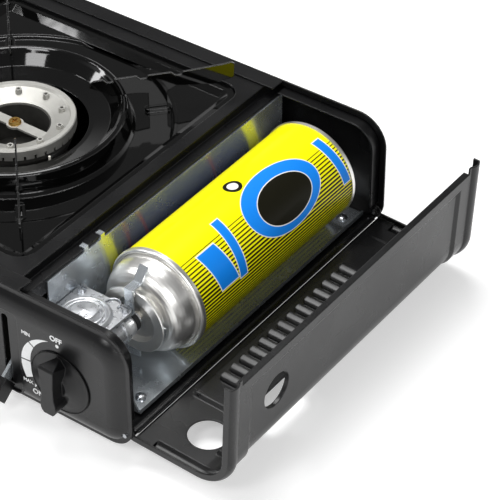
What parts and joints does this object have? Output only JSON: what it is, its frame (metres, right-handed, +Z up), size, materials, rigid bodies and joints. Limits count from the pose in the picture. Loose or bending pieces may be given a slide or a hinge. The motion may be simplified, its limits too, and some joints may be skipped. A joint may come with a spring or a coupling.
{
  "type": "butane cassette stove",
  "caption": "Portable butane cassette stove with a drip pan, pan supports, a burner, a control knob, a lock lever and an open side lid over the cartridge bay.",
  "frame": {"origin": "centre of the bounding box on the table, under the feet", "axes": "+Z up, the control panel faces -Y, the cartridge bay and its lid are at +X"},
  "size_m": [0.3992, 0.2856, 0.107],
  "materials": {
    "black_coat": "satin",
    "enamel": "gloss",
    "galvanised": "satin",
    "die_cast": "satin",
    "bright_steel": "satin",
    "cast_aluminium": "matte",
    "brass": "satin",
    "knob_plastic": "satin",
    "inner_plastic": "matte",
    "cam_plastic": "matte",
    "ceramic": "satin",
    "printed_tin": "gloss",
    "tinplate": "polished",
    "foot_rubber": "matte",
    "seal_rubber": "matte",
    "lead_cover": "satin"
  },
  "bodies": {
    "stove": {"base_pan": "black_coat", "top_plate": "black_coat", "front_panel": "black_coat", "back_panel": "black_coat", "cartridge_tray": "galvanised", "feet": "foot_rubber", "tray_screws": "bright_steel", "case_screws": "bright_steel", "regulator_body": "die_cast", "diaphragm_cover": "die_cast", "cover_screws": "bright_steel", "nozzle": "die_cast", "nozzle_seal": "seal_rubber", "guide_tongue": "galvanised", "guide_spring": "bright_steel", "gas_pipe": "bright_steel", "pipe_nuts": "brass", "injector": "brass", "mixing_tube": "bright_steel", "burner_bowl": "cast_aluminium", "burner_head": "cast_aluminium", "burner_screw": "brass", "burner_bracket": "galvanised", "igniter_body": "inner_plastic", "igniter_lead": "lead_cover", "spark_electrode": "ceramic", "lever_bracket": "galvanised", "lever_pin": "bright_steel", "hinge_pins": "bright_steel"},
    "lid": {"lid_shell": "black_coat"},
    "pan": {"drip_pan": "enamel", "support_back_right": "enamel", "support_back_left": "enamel", "support_front_left": "enamel", "support_front_right": "enamel"},
    "knob": {"knob": "knob_plastic", "knob_spindle": "bright_steel", "igniter_cam": "cam_plastic"},
    "lever": {"lock_lever": "galvanised", "lever_cap": "knob_plastic", "crank_pin": "bright_steel"},
    "cartridge": {"lock_slide": "galvanised", "can_wall": "printed_tin", "can_dome": "tinplate", "can_base": "tinplate", "mounting_cup": "tinplate", "valve_stem": "ceramic"}
  },
  "joints": [
    {"name": "lid_hinge", "type": "hinge", "parent": "stove", "child": "lid", "pos_m": [0.12569, 0.0088, 0.017], "axis": [0, -1, 0], "range_deg": [0, 92.5]},
    {"name": "pan_lift", "type": "slide", "parent": "stove", "child": "pan", "axis": [0, 0, 1], "range_m": [0, 0.04]},
    {"name": "knob_turn", "type": "hinge", "parent": "stove", "child": "knob", "pos_m": [0.08439, -0.1258, 0.039], "axis": [0, -1, 0], "range_deg": [0, 135]},
    {"name": "lever_turn", "type": "hinge", "parent": "stove", "child": "lever", "pos_m": [0.04389, -0.0997, 0.043], "axis": [-1, 0, 0], "range_deg": [0, 74]},
    {"name": "lock_travel", "type": "slide", "parent": "stove", "child": "cartridge", "axis": [0, 1, 0], "range_m": [0, 0.00746]}
  ],
  "couplings": [
    {"joint": "lever_turn", "follows": "lock_travel", "rad_per_m": 173.06}
  ]
}
